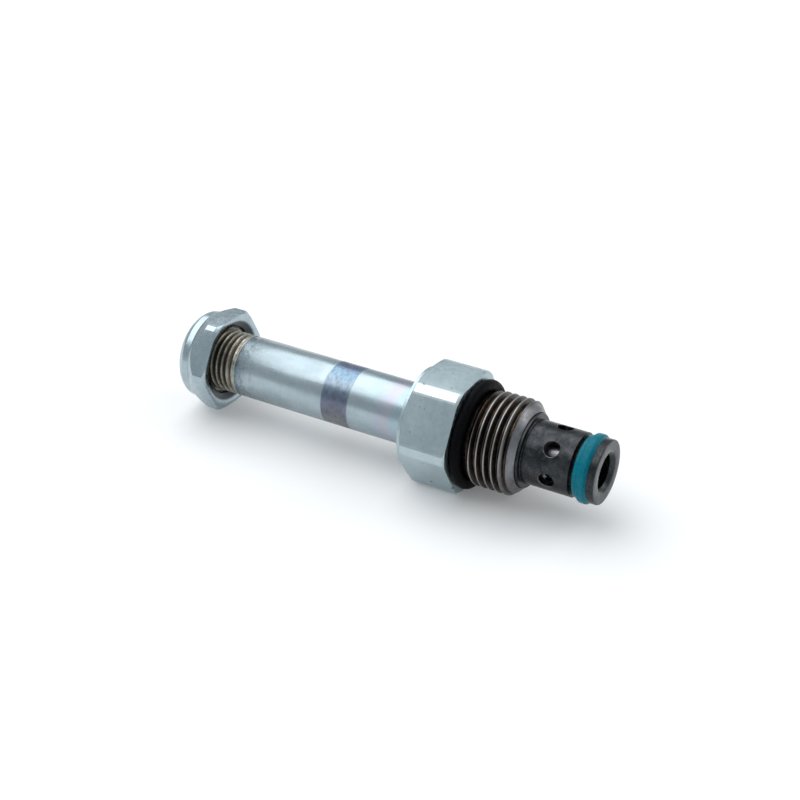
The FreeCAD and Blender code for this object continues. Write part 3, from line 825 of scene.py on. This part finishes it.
def join_rings(mesh, grid, skin):
    """Quads between closed rings of points."""
    for one, two in zip(grid, grid[1:]):
        for j in range(len(one)):
            k = (j + 1) % len(one)
            mesh.faces.new((one[j], one[k], two[k], two[j])).material_index = skin


def hole_point(turn, along, wall_r, hole_r):
    """Where a line from a port's centre meets the port's edge, as (turn, along)."""
    length = math.hypot(turn * wall_r, along)
    return math.asin(turn / length * hole_r), along / length * hole_r


def ported_wall(mesh, wall_r, half_length, hole_r, columns):
    """A stretch of cylinder wall with the side ports cut in it, in rings that turn from round to square."""
    layers = 6
    for port in range(HOLE_COUNT):
        centre = math.radians(HOLE_TURN) + TAU / HOLE_COUNT * port
        grid = []
        for layer in range(layers + 1):
            share = (layer / layers) ** 1.4
            ring = []
            for turn, along in patch_edge(half_length, columns):
                hole_turn, hole_along = hole_point(turn, along, wall_r, hole_r)
                x = HOLE_X + hole_along + (along - hole_along) * share
                ring.append(mesh.verts.new(place(x, wall_r, centre + hole_turn + (turn - hole_turn) * share)))
            grid.append(ring)
        join_rings(mesh, grid, 0)


def port_walls(mesh, outer_half, inner_half, columns):
    """The rubbed rim, also lightened as a painted highlight, and the drilled wall of each side port."""
    levels = [
        (CAGE_R, HOLE_R + HOLE_RIM, 0.0, outer_half),
        (CAGE_R, HOLE_R, HOLE_RIM, outer_half),
        (CHAMBER_R, HOLE_R, 0.0, inner_half),
    ]
    for port in range(HOLE_COUNT):
        centre = math.radians(HOLE_TURN) + TAU / HOLE_COUNT * port
        grid = []
        for wall_r, hole_r, sink, half in levels:
            ring = []
            for turn, along in patch_edge(half, columns):
                hole_turn, hole_along = hole_point(turn, along, wall_r, hole_r)
                ring.append(mesh.verts.new(place(HOLE_X + hole_along, wall_r - sink, centre + hole_turn)))
            grid.append(ring)
        join_rings(mesh, grid[:2], 1)
        join_rings(mesh, grid[1:], 0)


def cage():
    """Ported cage: collar, six drilled ports, seal groove and nose."""
    columns = 18
    outer_half, inner_half = 2.9, 2.0
    angles = even_angles(columns * HOLE_COUNT, HOLE_TURN - 180 / HOLE_COUNT)
    nose = [
        (HOLE_X + outer_half, CAGE_R),
        (GROOVE_START - 0.06, CAGE_R),
        (GROOVE_START, CAGE_R - 0.06),
        (GROOVE_START, GROOVE_R),
        (GROOVE_END, GROOVE_R),
        (GROOVE_END, CAGE_R - 0.06),
        (GROOVE_END + 0.06, CAGE_R),
    ]
    nose += rounded([(GROOVE_END + 0.1, CAGE_R), (NOSE_END, CAGE_R), (NOSE_END, NOSE_MOUTH_R + 0.1)], 0.26, 5)
    nose += [
        (NOSE_END - 0.04, NOSE_MOUTH_R),
        (NOSE_END - NOSE_MOUTH_DEPTH, NOSE_BORE_R),
        (THROAT_END, NOSE_BORE_R),
        (THROAT_END, SEAT_R),
        (SEAT_X, SEAT_R),
        (CHAMBER_END, CHAMBER_R),
        (HOLE_X + inner_half, CHAMBER_R),
    ]
    collar = [
        (HOLE_X - inner_half, CHAMBER_R),
        (CHAMBER_START, CHAMBER_R),
        (CHAMBER_START, CAGE_BORE_R),
        (CAGE_START, CAGE_BORE_R),
        (CAGE_START, COLLAR_R),
    ]
    collar += ring_groove(CAGE_RING_X, COLLAR_R, COLLAR_R - WIRE_SEAT)
    collar += [
        (COLLAR_END - 0.08, COLLAR_R),
        (COLLAR_END, COLLAR_R - 0.08),
        (COLLAR_END, CAGE_R + 0.1),
        (COLLAR_END + 0.1, CAGE_R),
        (HOLE_X - outer_half, CAGE_R),
    ]
    mesh = bmesh.new()
    for outline in (nose, collar):
        sweep_rows(mesh, rings(outline), angles, closed=False)
    ported_wall(mesh, CAGE_R, outer_half, HOLE_R + HOLE_RIM, columns)
    ported_wall(mesh, CHAMBER_R, inner_half, HOLE_R, columns)
    port_walls(mesh, outer_half, inner_half, columns)
    tidy(mesh)
    looks = [DARK_OXIDE, WORN_AND_HIGHLIT_RIM]
    return finish_piece("cage_body", mesh, "valve_body", "cage", looks)


def nose_seal():
    """Polyurethane seal: rounded shoulders on both sides of a flat-topped crown."""
    base = GROOVE_R + 0.05
    crown = 0.5 * (SEAL_START + SEAL_END) + 0.3
    outline = rounded([
        (SEAL_START, base),
        (SEAL_START, 6.16),
        (crown - 0.95, 6.24),
        (crown - 0.62, SEAL_CROWN_R - 0.02),
        (crown + 0.62, SEAL_CROWN_R - 0.02),
        (crown + 0.95, 6.24),
        (SEAL_END, 6.16),
        (SEAL_END, base),
    ], [0.45, 0.25, 0.35, 0.35, 0.2, 0.25], 5)
    return lathe_piece("seal_ring", outline, "valve_body", "nose_seal", TEAL_SEAL)


def hex_o_ring():
    """O-ring under the hexagon."""
    cord = (O_RING_END - O_RING_START) / 2
    middle, mean_r = (O_RING_START + O_RING_END) / 2, O_RING_R - cord
    outline = [(middle + cord * math.cos(t), mean_r + cord * math.sin(t)) for t in even_angles(40)[:-1]]
    return lathe_piece("port_o_ring", outline, "valve_body", "hex_o_ring", BLACK_RUBBER, 180)


def lock_ring():
    """Nylon ring in the nut's collar, with softened edges."""
    outline = rounded([
        (LOCK_START, (LOCK_BORE_R + LOCK_R) / 2),
        (LOCK_START, LOCK_BORE_R),
        (LOCK_END, LOCK_BORE_R),
        (LOCK_END, LOCK_R),
        (LOCK_START, LOCK_R),
        (LOCK_START, (LOCK_BORE_R + LOCK_R) / 2),
    ], 0.12)[:-1]
    return lathe_piece("nylon_insert", outline, "nut_carrier", "nut_lock_ring", NYLON)


def coil_spring():
    """Return spring: a coil of round wire at one fixed length between the ends of its CAD node."""
    mesh = bmesh.new()
    wire = SPRING_WIRE / 2
    mean_r = SPRING_R - wire
    low, high = SPRING_START + wire, SPRING_END - wire
    grid = []
    steps = SPRING_TURNS * 40
    for k in range(steps + 1):
        turn = TAU * SPRING_TURNS * k / steps
        x = low + (high - low) * k / steps
        out = Vector((0, math.cos(turn), math.sin(turn)))
        ring = []
        for t in even_angles(12)[:-1]:
            spot = out * (mean_r + wire * math.cos(t)) + Vector((x + wire * math.sin(t), 0, 0))
            ring.append(mesh.verts.new(spot * MM))
        grid.append(ring)
    join_rings(mesh, grid, 0)
    mesh.faces.new(grid[0])
    mesh.faces.new(grid[-1])
    tidy(mesh)
    looks = [SPRING_WIRE_LOOK]
    piece = finish_piece("armature_spring", mesh, "valve_body", "return_spring", looks)
    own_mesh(piece)
    return piece


hex_adapter()
pole_piece()
sleeve("heat_ring", RING_START, RING_END, [], "isolation_ring", HEAT_TINT_AND_PAINTED_LIGHT)
tube_groove = ring_groove(TUBE_RING_X, TUBE_R, TUBE_RING_R - WIRE_SEAT)
sleeve("lower_tube", TUBE_START, TUBE_END, tube_groove, "guide_tube", ZINC_TUBE)
coil_nut()
cage()
nose_seal()
hex_o_ring()
lock_ring()
coil_spring()

INNER_LOOKS = {
    "residual_disc": BRASS,
    "armature": GROUND_STEEL,
    "pilot_pin": HARD_STEEL,
    "link_pin": HARD_STEEL,
    "main_poppet": HARD_STEEL,
    "pilot_jet": HARD_STEEL,
    "poppet_spring": SPRING_WIRE_LOOK,
    "cage_snap_ring": SPRING_WIRE_LOOK,
    "tube_snap_ring": SPRING_WIRE_LOOK,
    "tube_o_ring": BLACK_RUBBER,
    "tube_backup_ring": BACKUP,
}
for node, look in INNER_LOOKS.items():
    materials = frame["nodes"][node].data.materials
    materials.clear()
    materials.append(look)


# ---------------------------------------------------------------- studio

def softbox(name, spot, target, size, power, colour=(1, 1, 1)):
    """A rectangular area light that points at a target, with its first side along X. Lengths in metres."""
    data = bpy.data.lights.new(name, "AREA")
    data.shape = "RECTANGLE"
    data.size, data.size_y = size
    data.energy = power
    data.color = colour
    light = bpy.data.objects.new(name, data)
    light.location = spot
    back = (Vector(spot) - Vector(target)).normalized()
    side = (Vector((1, 0, 0)) - back * back.x).normalized()
    light.rotation_euler = Matrix((side, back.cross(side), back)).transposed().to_euler()
    bpy.context.scene.collection.objects.link(light)
    return light


def floor():
    """Plain pale light table under the valve, large enough to fill the view."""
    size = 3.0
    data = bpy.data.meshes.new("floor")
    corners = [(-size, -size), (size, -size), (size, size), (-size, size)]
    data.from_pydata([(x, y, FLOOR_Z) for x, y in corners], [], [(0, 1, 2, 3)])
    look = bpy.data.materials.new("floor")
    look.use_nodes = True
    shader = look.node_tree.nodes["Principled BSDF"]
    shader.inputs["Base Color"].default_value = (0.82, 0.82, 0.82, 1)
    shader.inputs["Emission Color"].default_value = (1, 1, 1, 1)
    shader.inputs["Emission Strength"].default_value = 0.12
    shader.inputs["Roughness"].default_value = 0.9
    shader.inputs["Specular IOR Level"].default_value = 0.1
    data.materials.append(look)
    piece = bpy.data.objects.new("floor", data)
    bpy.context.scene.collection.objects.link(piece)


def camera():
    """The photograph's view."""
    data = bpy.data.cameras.new("camera")
    data.lens = 71.76
    data.sensor_width = 36
    data.clip_start = 0.01
    piece = bpy.data.objects.new("camera", data)
    right = Vector((0.86703, 0.49825, 0.0))
    up = Vector((-0.25724, 0.44765, 0.8564))
    back = Vector((0.42671, -0.74252, 0.5163))
    turn = Matrix((right, up, back)).transposed()
    piece.matrix_world = Matrix.Translation((0.11728, -0.23257, 0.16418)) @ turn.to_4x4()
    bpy.context.scene.collection.objects.link(piece)
    bpy.context.scene.camera = piece


def world():
    """Dim, slightly blue surroundings."""
    data = bpy.data.worlds.new("studio")
    data.use_nodes = True
    data.node_tree.nodes["Background"].inputs["Color"].default_value = (0.90, 0.96, 1.0, 1)
    data.node_tree.nodes["Background"].inputs["Strength"].default_value = 0.57
    bpy.context.scene.world = data


FLOOR_Z = cad_bounds[0][2]
CENTRE = (-0.019, 0.0, 0.0)
floor()
camera()
world()
softbox("overhead", (-0.305, 0.04, 0.585), CENTRE, (0.70, 1.02), 4.1)
softbox("rim", (0.37, 0.34, 0.32), CENTRE, (0.35, 0.35), 0.8)
bpy.context.scene.view_settings.view_transform = "Standard"
